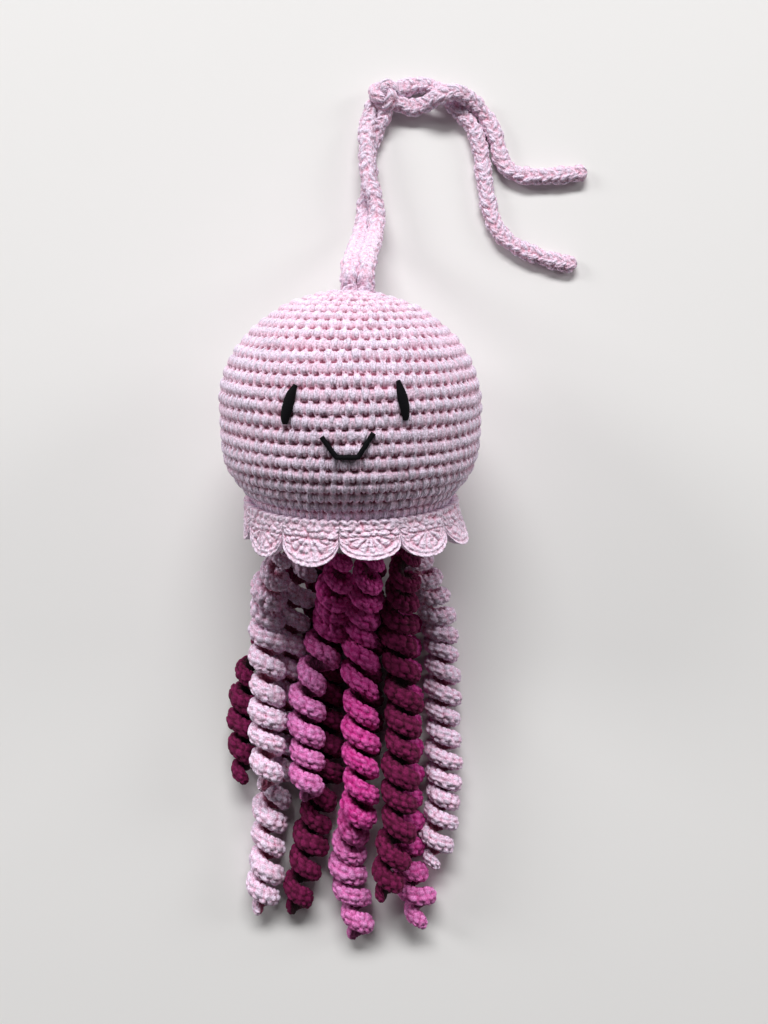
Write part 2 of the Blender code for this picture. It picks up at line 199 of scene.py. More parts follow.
# How a coil is wound where that isn't the usual way; sway is a share of its length, then shifts right and up
MANNERS = {
    "tentacle_01": {
        "slim": 0.28,
        "sway": [(0, 0, 0), (0.20, 0.0082, 0), (0.50, 0.0082, 0), (0.68, -0.0006, 0)],
    },
    "tentacle_02": {
        "lean": (0.05, 0.05),
        "sway": [(0, 0, 0), (0.12, -0.0036, 0), (0.26, -0.0036, 0), (0.50, 0, 0)],
    },
    "tentacle_03": {
        "lean": (0.10, 0.10),
        "sway": [
            (0, 0, 0), (0.16, 0.0046, 0.010), (0.30, 0.0026, 0.010), (0.45, 0, 0), (0.65, -0.0032, 0),
            (1, -0.0020, 0),
        ],
    },
    "tentacle_04": {
        "lean": (0.25, 0.05),
        "tinge": 0.43,
        "sway": [(0, 0.0030, 0), (0.14, 0.0068, 0), (0.42, 0.0088, 0), (0.53, 0.0062, 0), (0.66, 0, 0)],
    },
    "tentacle_05": {
        "sway": [
            (0, 0, 0), (0.12, -0.0045, 0), (0.26, -0.0045, 0), (0.45, 0, 0), (0.75, 0, 0), (1, -0.0042, 0),
        ],
    },
    "tentacle_06": {
        "lean": (0.42, 0.00),
        "tinge": 0.66,
        "sway": [(0, 0, 0), (0.88, 0, 0), (0.95, 0.0030, 0), (1, 0.0010, 0)],
    },
    "tentacle_09": {"lean": (0.10, 0.00), "tinge": 0.78},
    "tentacle_10": {
        "lean": (0.05, 0.10),
        "fullness": 0.95,
        "sway": [
            (0, -0.0030, 0), (0.10, -0.0055, 0), (0.28, -0.0022, 0), (0.50, 0, 0), (0.78, 0, 0),
            (1, -0.0042, 0),
        ],
    },
}
STRAIGHT = [(0, 0, 0), (1, 0, 0)]
NO_TINGE = 2.0

# Ribbons: the routes of the part
STRAP_OVER = (
    (0.0062, 0.0466, 0.0655), (0.0064, 0.0520, 0.0660), (0.0074, 0.0600, 0.0596), (0.0088, 0.0680, 0.0440),
    (0.0102, 0.0765, 0.0270), (0.0114, 0.0865, 0.0130), (0.0110, 0.0960, 0.0096), (0.0086, 0.1045, 0.0096),
    (0.0060, 0.1115, 0.0092), (0.0044, 0.1190, 0.0084), (0.0040, 0.1265, 0.0076), (0.0050, 0.1335, 0.0062),
    (0.0066, 0.1400, 0.0050), (0.0081, 0.1451, 0.0047),
)
STRAP_UNDER = (
    (0.0000, 0.0470, 0.0656), (0.0000, 0.0520, 0.0660), (0.0002, 0.0600, 0.0581), (0.0006, 0.0680, 0.0420),
    (0.0010, 0.0765, 0.0240), (0.0022, 0.0865, 0.0090), (0.0042, 0.0970, 0.0034), (0.0068, 0.1070, 0.0029),
    (0.0083, 0.1170, 0.0029), (0.0088, 0.1260, 0.0029), (0.0105, 0.1345, 0.0031), (0.0143, 0.1431, 0.0046),
)
TAIL_OVER = (
    (0.0201, 0.1478, 0.0048), (0.0267, 0.1464, 0.0034), (0.0330, 0.1472, 0.0048), (0.0400, 0.1492, 0.0096),
    (0.0475, 0.1508, 0.0098), (0.0548, 0.1486, 0.0056), (0.0610, 0.1434, 0.0029), (0.0653, 0.1364, 0.0029),
    (0.0676, 0.1291, 0.0029), (0.0693, 0.1224, 0.0029), (0.0736, 0.1167, 0.0029), (0.0806, 0.1143, 0.0029),
    (0.0896, 0.1140, 0.0029), (0.1000, 0.1147, 0.0029), (0.1101, 0.1159, 0.0029),
)
TAIL_UNDER = (
    (0.0194, 0.1537, 0.0048), (0.0262, 0.1564, 0.0032), (0.0328, 0.1570, 0.0029), (0.0389, 0.1548, 0.0029),
    (0.0444, 0.1501, 0.0029), (0.0495, 0.1450, 0.0029), (0.0542, 0.1396, 0.0029), (0.0576, 0.1335, 0.0029),
    (0.0596, 0.1262, 0.0029), (0.0607, 0.1186, 0.0029), (0.0617, 0.1108, 0.0029), (0.0632, 0.1019, 0.0029),
    (0.0655, 0.0933, 0.0029), (0.0703, 0.0857, 0.0029), (0.0779, 0.0801, 0.0029), (0.0869, 0.0763, 0.0029),
    (0.0963, 0.0734, 0.0029), (0.1053, 0.0720, 0.0029),
)
RIBBON_WIDTH = 0.0070
RIBBON_HALF_THICK = 0.0024
RIBBON_FULLNESS = 1.07
RIBBON_SQUARENESS = 2.3
RIBBON_SECTION = 28
RIBBON_STITCH = 0.0043
RIBBON_RELIEF = 0.0019
RIBBON_STEP = 0.0006
# How far a link's middle lies ahead of its sides, in stitches
LINK_POINT = 0.75
# Waves along a ribbon's width: size and radians for each metre
UNEVEN_WIDTH = ((0.07, 410), (0.05, 733))
# How far a worked-in start runs on into what it is sewn to
LEAD_IN = (0.0024, 0.0018, 0.0012, 0.0006)
RUN_INTO_KNOT = 0.0050
BARE_END = 0.0022
# The straps lie more nearly on one another than their routes: shifts to the right by place up the floor
STRAP_SWAY_AT = (0.054, 0.066, 0.084, 0.105, 0.1233, 0.141)
STRAP_SWAY = {
    "tie_strap_over": (0, -0.0010, -0.0014, 0, 0.0019, 0),
    "tie_strap_under": (0, 0.0010, 0.0014, 0, -0.0021, 0),
}

# Knot
CHAIN_ROWS = 6
KNOT_PLACE = (0.0139, 0.1501, 0.0064)
BIGHTS_CENTRE = (KNOT_PLACE[0] + 0.0002, KNOT_PLACE[1] + 0.0006, 0.0062)
BIGHT_STEPS = 360
BIGHT_SECTION = 24
BIGHT_SWING = 0.0033
BIGHT_REACH = 0.0014
BIGHT_RISE = 0.0022
BIGHT_HALF_WIDTH = 0.0030
BIGHT_HALF_THICK = 0.0026
BIGHT_STITCH = 0.0040
BIGHT_RELIEF = 0.0017
HEART_RADIUS = 0.0044
HEART_RELIEF = 0.0012
KNOT_SEED = 31
HEART_SEED = 32

# Studio: lamps as place, aim, size across and along, and watts
LAMPS = {
    "key": ((-0.10, 2.66, 2.40), (0, 0, 0), (3.00, 0.80), 145),
    "side": ((-2.50, 1.15, 1.30), (0, -0.05, 0), (1.0, 1.0), 28),
    "right": ((2.40, 0.95, 1.10), (0, -0.05, 0), (1.0, 1.0), 18),
    "fill": ((0.5, -0.6, 1.6), (0, -0.05, 0), (1.6, 1.6), 0.45),
}
AMBIENT_COLOUR = (1.0, 0.95, 0.97, 1)
AMBIENT_STRENGTH = 0.042
FLOOR_COLOUR = (0.80, 0.79, 0.78, 1)
FLOOR_HALF = 3
CAMERA_PLACE = (0.0139, -0.045, 0.45)
CAMERA_LENS = 33.18
CAMERA_SENSOR = 36

# Yarn: its gloss, its strands and fibres, and where its colours lie on the height of a stitch; the deep
# colour low down is painted shade
YARN_GLOSS = {"Roughness": 0.85, "Specular IOR Level": 0.2, "Sheen Weight": 0.10, "Sheen Roughness": 0.5}
STRAND_DRIFT = 90
STRAND_EDGES = (0.22, 0.78)
STRAND_SHADE = (0.60, 1.05)
FIBRE_SCALE = 1500
FIBRE_SHADE = (0.66, 1.14)
LOW_AT, MIDDLE_AT, HIGH_AT = 0.12, 0.40, 0.80

# The stitches' chance values repeat after so many rows and columns
LUCK_ROWS = 64
LUCK_COLUMNS = 997


# Small tools

def ease(t):
    t = np.clip(t, 0, 1)
    return t * t * (3 - 2 * t)


def smooth_steps(at, stops, values):
    """Values at the stops, eased from each to the next."""
    total = np.full(np.shape(at), float(values[0]))
    for a, b, low, high in zip(stops, stops[1:], values, values[1:]):
        total = total + (high - low) * ease((at - a) / (b - a))
    return total


def unit(vectors):
    return vectors / np.maximum(np.linalg.norm(vectors, axis=-1, keepdims=True), 1e-12)


def arc_lengths(points):
    """The way travelled from the first point to each point."""
    return np.concatenate([[0], np.cumsum(np.linalg.norm(np.diff(points, axis=0), axis=1))])


def at_lengths(wanted, along, points):
    """Points at the wanted lengths along a line."""
    return np.stack([np.interp(wanted, along, column) for column in points.T], axis=1)


def level_axes(ahead):
    """Side and up at each point of a route, with the side kept level."""
    side = unit(np.cross([0.0, 0.0, 1.0], ahead))
    return side, np.cross(ahead, side)


def squared_circle(phi, squareness):
    """Cosine and sine of a circle that is drawn out towards a square."""
    power = 2 / squareness
    cosine = np.sign(np.cos(phi)) * np.abs(np.cos(phi)) ** power
    sine = np.sign(np.sin(phi)) * np.abs(np.sin(phi)) ** power
    return cosine, sine


def to_world(x, y, z):
    """Points of the head's own frame in the row frame."""
    angle = BODY_TILT - math.pi / 2
    c, s = math.cos(angle), math.sin(angle)
    return np.stack([x, y * c - z * s, REST_HEIGHT + y * s + z * c], axis=-1)


def body_radius(height):
    height = np.asarray(height, float)
    upper = BODY_RADIUS * np.sqrt(np.clip(1 - (height / CROWN_HEIGHT) ** 2, 0, None))
    depth = np.clip(-height / BASE_DEPTH, 0, 1) ** NECK_FULLNESS
    lower = BASE_RADIUS + (BODY_RADIUS - BASE_RADIUS) * (1 + np.cos(math.pi * depth)) / 2
    return np.where(height >= 0, upper, lower)


def smooth_route(stops, spacing):
    """Points about spacing apart on a Catmull-Rom curve through the stops, as in the part."""
    stops = np.array(stops)
    ends = np.vstack([2 * stops[0] - stops[1], stops, 2 * stops[-1] - stops[-2]])
    fine = [stops[0]]
    for a, b, c, d in zip(ends, ends[1:], ends[2:], ends[3:]):
        for t in np.arange(1, 17) / 16:
            bend = t**2 * (2 * a - 5 * b + 4 * c - d) + t**3 * (3 * b - a - 3 * c + d)
            fine.append(b + (t * (c - a) + bend) / 2)
    fine = np.array(fine)
    along = arc_lengths(fine)
    at = np.linspace(0, along[-1], max(2, round(along[-1] / spacing) + 1))
    return at_lengths(at, along, fine), at


def wander(seed, *along):
    """Smooth noise of about -1 to 1 from a few waves, whole waves along the first argument, an angle."""
    rng = np.random.default_rng(seed)
    total = 0
    for _ in range(6):
        phase = rng.uniform(0, TAU)
        angle = rng.integers(1, 7) * along[0]
        rest = sum(rng.uniform(-1, 1) * other for other in along[1:])
        total = total + np.sin(angle + rest + phase)
    return total / 3


def ridge(t, power=2.2):
    """Rounded ridges, one from each whole number to the next, with creases between them."""
    return np.sqrt(np.clip(1 - np.abs(2 * (t % 1) - 1) ** power, 0, 1))


def lumps(w, r, seed, rows=None, jitter=0.20, wrap=LUCK_COLUMNS):
    """Puffy stitches on a staggered grid, 0 to 1 high; w and r count stitches along and across."""
    table = np.random.default_rng(seed).random((LUCK_ROWS, LUCK_COLUMNS, 3))
    best = np.full(w.shape, 9.0)
    second = np.full(w.shape, 9.0)
    size = np.ones(w.shape)
    near_row = np.round(r)
    for step_r in (-1, 0, 1):
        row = (near_row + step_r).astype(int)
        key = row % rows if rows else row
        shift = 0.5 * (key % 2)
        column = np.floor(w - shift).astype(int)
        for step_w in (-1, 0, 1):
            cell = column + step_w
            luck = table[key % LUCK_ROWS, cell % wrap]
            dw = w - (cell + shift + 0.5 + jitter * (2 * luck[..., 0] - 1))
            dr = r - (row + jitter * (2 * luck[..., 1] - 1))
            far = np.hypot(dw, dr)
            closer = far < best
            second = np.where(closer, best, np.minimum(second, far))
            best = np.where(closer, far, best)
            size = np.where(closer, 0.82 + 0.18 * luck[..., 2], size)
    crease = np.sqrt(np.clip((second - best) / 0.26, 0, 1))
    return size * np.sqrt(np.clip(1 - (best / 0.76) ** 2.8, 0, 1)) * (0.40 + 0.60 * crease)


def grid_mesh(name, points, material, fields, close_start=False, close_end=False):
    """A mesh from rows x columns of points, closed round the columns, with a fan at each closed end."""
    rows, columns = points.shape[:2]
    cloud = points.reshape(-1, 3)
    values = {key: field.reshape(-1) for key, field in fields.items()}
    index = np.arange(rows * columns).reshape(rows, columns)
    a, b = index[:-1], np.roll(index, -1, axis=1)[:-1]
    c, d = np.roll(index, -1, axis=1)[1:], index[1:]
    quads = np.stack([a, b, c, d], axis=-1).reshape(-1, 4)
    fans = []
    for closed, row, flip in ((close_start, 0, False), (close_end, rows - 1, True)):
        if not closed:
            continue
        ring, after = index[row], np.roll(index[row], -1)
        middle = np.full(columns, len(cloud))
        cloud = np.vstack([cloud, points[row].mean(axis=0)])
        for key in values:
            values[key] = np.append(values[key], fields[key][row].mean())
        fans.append(np.stack([ring, after, middle] if flip else [after, ring, middle], axis=-1))
    loops = np.concatenate([quads.reshape(-1)] + [fan.reshape(-1) for fan in fans])
    sizes = np.concatenate([np.full(len(quads), 4)] + [np.full(len(fan), 3) for fan in fans])
    starts = np.concatenate([[0], np.cumsum(sizes)[:-1]])
    mesh = bpy.data.meshes.new(name)
    mesh.vertices.add(len(cloud))
    mesh.vertices.foreach_set("co", cloud.astype(np.float32).reshape(-1))
    mesh.loops.add(len(loops))
    mesh.loops.foreach_set("vertex_index", loops.astype(np.int32))
    mesh.polygons.add(len(sizes))
    mesh.polygons.foreach_set("loop_start", starts.astype(np.int32))
    mesh.update(calc_edges=True)
    mesh.validate()
    # Faces point outwards
    corners = cloud[quads[:, :3]]
    volumes = np.einsum("ij,ij->i", corners[:, 0], np.cross(corners[:, 1], corners[:, 2]))
    if volumes.sum() < 0:
        mesh.flip_normals()
    for key, value in values.items():
        attribute = mesh.attributes.new(key, "FLOAT", "POINT")
        attribute.data.foreach_set("value", value.astype(np.float32))
    mesh.shade_smooth()
    mesh.materials.append(material)
    return add_object(name, mesh)


def add_object(name, data):
    piece = bpy.data.objects.new(name, data)
    bpy.context.scene.collection.objects.link(piece)
    return piece


def weld(piece):
    """Join the grid's edges where they meet."""
    shape = bmesh.new()
    shape.from_mesh(piece.data)
    bmesh.ops.remove_doubles(shape, verts=shape.verts, dist=1e-7)
    shape.to_mesh(piece.data)
    shape.free()


def dress(piece, slot, *nodes):
    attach(piece, "root")
    if nodes:
        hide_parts(*nodes)
    return piece


# Materials

def node_of(tree, kind, inputs, **settings):
    """A new shader node; an input is linked to a socket or set to a plain value."""
    node = tree.nodes.new(kind)
    for key, value in settings.items():
        setattr(node, key, value)
    for key, value in inputs.items():
        if isinstance(value, bpy.types.NodeSocket):
            tree.links.new(value, node.inputs[key])
        else:
            node.inputs[key].default_value = value
    return node


def calculate(tree, operation, first, second):
    """The output of a Math node on sockets or plain numbers."""
    return node_of(tree, "ShaderNodeMath", {0: first, 1: second}, operation=operation).outputs[0]


def spread(tree, value, low_in, high_in, low_out, high_out):
    """A value's range laid over another range."""
    inputs = {"Value": value, "From Min": low_in, "From Max": high_in, "To Min": low_out, "To Max": high_out}
    return node_of(tree, "ShaderNodeMapRange", inputs).outputs["Result"]


def mesh_field(tree, label):
    return node_of(tree, "ShaderNodeAttribute", {}, attribute_name=label).outputs["Fac"]


def new_material(name, looks):
    """A material, its node tree and its shader with the looks given by socket."""
    material = bpy.data.materials.new(name)
    material.use_nodes = True
    shader = material.node_tree.nodes["Principled BSDF"]
    for label, value in looks.items():
        shader.inputs[label].default_value = value
    return material, material.node_tree, shader


def strands(tree, place):
    """Rounded cells in the stitch's own coordinates, 1 on a strand and 0 between strands."""
    parts = node_of(tree, "ShaderNodeSeparateXYZ", {0: place})
    drift = calculate(tree, "ADD", parts.outputs["X"], parts.outputs["Y"])
    depth = calculate(tree, "MULTIPLY", drift, STRAND_DRIFT)
    own_place = {"X": mesh_field(tree, "leg"), "Y": mesh_field(tree, "run"), "Z": depth}
    own = node_of(tree, "ShaderNodeCombineXYZ", own_place)
    cells = node_of(tree, "ShaderNodeTexVoronoi", {"Scale": 1, "Randomness": 0.85, "Vector": own.outputs[0]})
    return spread(tree, cells.outputs["Distance"], *STRAND_EDGES, 1, 0)


def yarn(name, high, middle, low, tip=None):
    """Yarn with strands and fibres, pale on its raised parts and deep in the creases and between strands,
    this deep colour being painted shade.
    """
    sheen = (*[min(1, c * 1.1 + 0.1) for c in high], 1)
    material, tree, shader = new_material(name, {**YARN_GLOSS, "Sheen Tint": sheen})
    place = node_of(tree, "ShaderNodeTexCoord", {}).outputs["Object"]
    strand = strands(tree, place)
    noise = node_of(tree, "ShaderNodeTexNoise", {"Scale": FIBRE_SCALE, "Detail": 4, "Vector": place})
    fibres = noise.outputs["Fac"]

    # Colour follows the height of the stitch and of the strand: painted shade makes the creases and the gaps
    # between strands dark
    strand_height = spread(tree, strand, 0, 1, *STRAND_SHADE)
    height = calculate(tree, "MULTIPLY", mesh_field(tree, "shade_height"), strand_height)
    ramp = node_of(tree, "ShaderNodeValToRGB", {"Fac": height})
    stops = ramp.color_ramp.elements
    stops[0].color = (*low, 1)
    stops[0].position = LOW_AT
    stops[1].color = (*high, 1)
    stops[1].position = HIGH_AT
    half_way = stops.new(MIDDLE_AT)
    half_way.color = (*middle, 1)
    colour = ramp.outputs["Color"]
    if tip:
        share = calculate(tree, "MULTIPLY", mesh_field(tree, "along"), height)
        inputs = {"Factor": share, "A": colour, "B": (*tip, 1)}
        colour = node_of(tree, "ShaderNodeMix", inputs, data_type="RGBA").outputs["Result"]
    inputs = {"Factor": 1, "A": colour, "B": spread(tree, fibres, 0.34, 0.66, *FIBRE_SHADE)}
    dyed = node_of(tree, "ShaderNodeMix", inputs, data_type="RGBA", blend_type="MULTIPLY")
    tree.links.new(dyed.outputs["Result"], shader.inputs["Base Color"])

    coarse = node_of(tree, "ShaderNodeBump", {"Strength": 0.8, "Distance": 0.0007, "Height": strand})
    inputs = {"Strength": 0.6, "Distance": 0.0005, "Height": fibres, "Normal": coarse.outputs["Normal"]}
    fine = node_of(tree, "ShaderNodeBump", inputs)
    tree.links.new(fine.outputs["Normal"], shader.inputs["Normal"])
    return material


def black_thread():
    looks = {"Base Color": (0.003, 0.003, 0.004, 1), "Roughness": 0.7, "Specular IOR Level": 0.06}
    material, tree, shader = new_material("black_thread", looks)
    place = node_of(tree, "ShaderNodeTexCoord", {}).outputs["Object"]
    fibres = node_of(tree, "ShaderNodeTexNoise", {"Scale": 1800, "Vector": place}).outputs["Fac"]
    bump = node_of(tree, "ShaderNodeBump", {"Strength": 0.5, "Distance": 0.0003, "Height": fibres})
    tree.links.new(bump.outputs["Normal"], shader.inputs["Normal"])
    return material


# Each yarn's colours: raised tops, slopes, then creases; the crease colour is painted shade
HEAD_YARN = yarn("head_yarn", (0.90, 0.77, 0.94), (0.86, 0.56, 0.71), (0.40, 0.11, 0.18))
FRILL_YARN = yarn("frill_yarn", (0.94, 0.79, 0.95), (0.92, 0.62, 0.77), (0.72, 0.25, 0.37))
TIE_YARN = yarn("tie_yarn", (0.90, 0.77, 0.94), (0.90, 0.57, 0.72), (0.66, 0.22, 0.32))
BLACK_THREAD = black_thread()
HOT_TIP = (0.80, 0.30, 0.64)
TENTACLE_YARN = {
    "pale": yarn("pale_pink_yarn", (0.90, 0.74, 0.92), (0.88, 0.55, 0.73), (0.46, 0.11, 0.20)),
    "hot": yarn("hot_pink_yarn", (0.72, 0.100, 0.40), (0.50, 0.018, 0.21), (0.08, 0.001, 0.024), HOT_TIP),
    "dark": yarn("dark_magenta_yarn", (0.185, 0.009, 0.070), (0.085, 0.002, 0.028), (0.008, 0.001, 0.002)),
}
TENTACLE_SLOTS = {"pale": "pale_pink_yarn", "hot": "hot_pink_yarn", "dark": "dark_magenta_yarn"}


# Head

def head_profile():
    """Lengths and (radius, height) points from the crown to the base's middle, and the base's start."""
    heights = CROWN_HEIGHT * np.cos(np.linspace(0, math.pi / 2, 400))
    upper = np.stack([body_radius(heights), heights], axis=1)
    heights = np.linspace(0, -BASE_DEPTH, 300)[1:]
    lower = np.stack([body_radius(heights), heights], axis=1)
    edge = []
    for t in np.linspace(0, math.pi / 2, 20)[1:]:
        edge.append((BASE_RADIUS - BASE_EDGE * (1 - math.cos(t)), -BASE_DEPTH - BASE_EDGE * math.sin(t)))
    base = [(r, -BASE_DEPTH - BASE_EDGE) for r in np.linspace(BASE_RADIUS - BASE_EDGE, BASE_HOLE, 60)[1:]]
    line = np.vstack([upper, lower, edge, base])
    along = arc_lengths(line)
    return along, line, along[len(upper) + len(lower) - 1]


def head_rows(length, main_length):
    """The grid's rows as (round, share of it, length from the crown), and the rounds above the base."""
    rounds = round(main_length / ROUND_HEIGHT)
    pace = main_length / rounds
    base_rounds = round((length - main_length) / ROUND_HEIGHT)
    base_pace = (length - main_length) / base_rounds
    rows = []
    for k in range(rounds):
        for r in range(ROWS_PER_ROUND):
            rows.append((k, r / ROWS_PER_ROUND, pace * (k + r / ROWS_PER_ROUND)))
    for k in range(base_rounds):
        for r in range(BASE_ROWS_PER_ROUND):
            share = r / BASE_ROWS_PER_ROUND
            rows.append((rounds + k, share, main_length + base_pace * (k + share)))
    rows.append((rounds + base_rounds - 1, 1.0, length))
    return rows[1:], rounds


def stitch_relief(u, v):
    """Height from 0 to 1 of one single crochet stitch: a full lobe and a small one beside it, lower down."""
    relief = np.zeros(np.shape(u))
    narrowing = 1 - 0.18 * ease((v - 0.40) / 0.55)
    for place, half, level, tall, height in STITCH_LOBES:
        aside = np.abs((u - place + 0.5) % 1 - 0.5) / (half * narrowing)
        above = np.abs(v - level) / tall
        relief = np.maximum(relief, height * np.clip(1 - aside**2.2 - above**2.6, 0, 1) ** 0.42)
    return relief


def make_head():
    along, line, main_length = head_profile()
    length = along[-1]
    rows, rounds = head_rows(length, main_length)
    columns = STITCHES * COLUMNS_PER_STITCH
    # The seam of the grid is at the back
    turn = TAU * (np.arange(columns) / columns - 0.5)
    points = np.empty((len(rows), columns, 3))
    shade_height, leg, run = (np.empty((len(rows), columns)) for _ in range(3))
    vary = np.random.default_rng(HEAD_SEED).uniform(*TENSION_RANGE, (TENSION_ROWS, STITCHES))
    for j, (k, v, s) in enumerate(rows):
        count = min(STITCHES, ROUND_INCREASE * (k + 1))
        if k >= rounds:
            count = max(ROUND_INCREASE, STITCHES - BASE_DECREASE * (k - rounds))
        shift = ((3 * k) % COLUMNS_PER_STITCH) / COLUMNS_PER_STITCH
        drift = STITCH_DRIFT * wander(DRIFT_SEED + k, turn) * min(1, k / 6)
        across = ((turn / TAU + 0.5) * count + shift + drift) % count
        stitch = across.astype(int) % count
        relief = stitch_relief((across + STITCH_SLANT * (v - 0.5)) % 1, np.full(columns, v))
        # Painted shade: the lower side of a stitch, which faces down away from the light, keeps more of the
        # deep crease colour
        shade_height[j] = relief**0.85 * (1.02 - 0.34 * ease((v - 0.45) / 0.5))
        aside = np.abs(across % 1 - 0.5)
        leg[j] = 4.6 * aside
        run[j] = 1.2 * (k + v) + 2.0 * aside
        # Hand tension: each round wanders a little up and down
        wobble = HAND_TENSION * wander(TENSION_SEED + k // 2, turn, np.full(columns, 0.6 * k)) * min(1, k / 4)
        place = np.clip(s + wobble, 0, length)
        here = at_lengths(place, along, line)
        ahead = at_lengths(place + PROFILE_STEP, along, line) - here
        if j >= len(rows) - 2:
            ahead = np.tile([-1.0, 0.0], (columns, 1))
        ahead = unit(ahead)
        lift = STITCH_TOP - STITCH_DEPTH * (1 - relief * vary[k % TENSION_ROWS, stitch % STITCHES])
        lift = lift * min(1, (s + 0.002) / CROWN_FADE)
        radius = here[:, 0] - ahead[:, 1] * lift
        height = here[:, 1] + ahead[:, 0] * lift
        points[j] = to_world(radius * np.sin(turn), -radius * np.cos(turn), height)
    points[..., 2] = np.maximum(points[..., 2], FLOOR_GAP)
    fields = {"shade_height": shade_height, "leg": leg, "run": run}
    head = grid_mesh("head", points, HEAD_YARN, fields, close_start=True, close_end=True)
    dress(head, "head_yarn", "body")


# Face

def on_skin(turn, height):
    radius = float(body_radius(height))
    return to_world(radius * math.sin(turn), -radius * math.cos(turn), height)


def straight_out(turn):
    return to_world(math.sin(turn), -math.cos(turn), 0.0) - to_world(0.0, 0.0, 0.0)


def face_pad(name, node, middles, half_widths, dome, sides=THREAD_SIDES):
    """A pad of thread along (turn, height) places, whose edges go down between the stitches."""
    places = np.array([on_skin(turn, height) for turn, height in middles])
    ahead = unit(np.gradient(places, axis=0))
    across = unit(np.cross(ahead, np.array([straight_out(turn) for turn, _ in middles])))
    outs = unit(np.cross(across, ahead))
    angles = np.linspace(0, TAU, sides + 1)[:-1]
    sine = np.sin(angles)
    rings, relief = [], []
    for i, half in enumerate(half_widths):
        crest = 0.5 + 0.5 * math.cos(TAU * i / 3)
        lift = dome * (0.55 + 0.45 * half / max(half_widths)) + THREAD_RIDGE * crest
        x = np.cos(angles) * half
        y = np.where(sine > 0, np.abs(sine) ** 0.8 * lift, sine * THREAD_SINK)
        rings.append(places[i] + across[i] * x[:, None] + outs[i] * (y[:, None] + SEAT_GAP))
        relief.append(np.full(sides, crest))
    piece = grid_mesh(name, np.array(rings), BLACK_THREAD, {"shade_height": np.array(relief)}, True, True)
    dress(piece, "black_thread", node)


def make_face():
    for node, stops in EYE_STOPS.items():
        flat = [(math.radians(turn) * BODY_RADIUS, height, half) for turn, height, half in stops]
        fine, _ = smooth_route(flat, EYE_STEP)
        middles = [(arc / BODY_RADIUS, height) for arc, height, _ in fine]
        face_pad(node + "_thread", node, middles, fine[:, 2].tolist(), EYE_DOME, EYE_THREAD_SIDES)
    corners = list(zip(MOUTH_CORNERS, MOUTH_CORNER_HEIGHTS))
    bottom = [(turn, MOUTH_BOTTOM_HEIGHT) for turn in MOUTH_BOTTOM]
    stops = np.array([corners[0], bottom[0], bottom[1], corners[1]])
    middles = []
    for a, b in zip(stops, stops[1:]):
        for t in np.linspace(0, 1, MOUTH_STEPS + 1)[:-1]:
            middles.append(tuple(a + (b - a) * t))
    middles.append(tuple(stops[-1]))
    face_pad("mouth_thread", "mouth", middles, [MOUTH_HALF_WIDTH] * len(middles), MOUTH_DOME)


# Frill

def above_floor(points, least):
    """Points in the head's frame, raised along the floor's own up where they lie lower than that."""
    up = np.array([0, -math.cos(BODY_TILT), math.sin(BODY_TILT)])
    lift = np.maximum(0, least - (REST_HEIGHT + points @ up))
    return points + lift[..., None] * up


def shell_relief(local, whole, depth, margin):
    """Height from 0 to 1 on a shell: stitches at the neck, a fan of posts, and a rim of two chains."""
    def plain_rows(seed):
        wrap = NECK_STITCHES * SCALLOPS
        return lumps(NECK_STITCHES * whole, depth / NECK_ROW, seed, jitter=0.26, wrap=wrap)

    neck = plain_rows(NECK_SEED) * np.clip((NECK_SHARE - depth) / 0.06, 0, 1)
    aside, below = (local - 0.5) * 1.55, depth - FAN_CENTRE
    far = np.hypot(aside, below)
    angle = np.arctan2(aside, np.maximum(below, 0.02))
    posts = (0.04 + 0.96 * ridge(angle / POST_ANGLE + 0.5)) * (0.70 + 0.30 * ridge(far / 0.21 + 0.6 * angle))
    posts = posts * np.clip((far + 0.02) / 0.16, 0, 1) * np.clip((depth - 0.34) / 0.06, 0, 1)
    shell = np.clip((FAN_REACH - far) / 0.08, 0, 1)
    inside_rim = np.clip((margin - 0.0022) / 0.0008, 0, 1)
    fan = np.maximum(posts * shell, 0.90 * plain_rows(PLAIN_SEED) * (1 - shell)) * inside_rim
    rim = 0
    for place, half, slant in RIM_CHAINS:
        strand = np.sqrt(np.clip(1 - ((margin - place) / half) ** 2, 0, 1))
        rim = np.maximum(rim, strand * (0.66 + 0.34 * ridge(8 * local + slant * margin)))
    return np.clip(np.maximum.reduce([neck, fan, rim]), 0, 1)


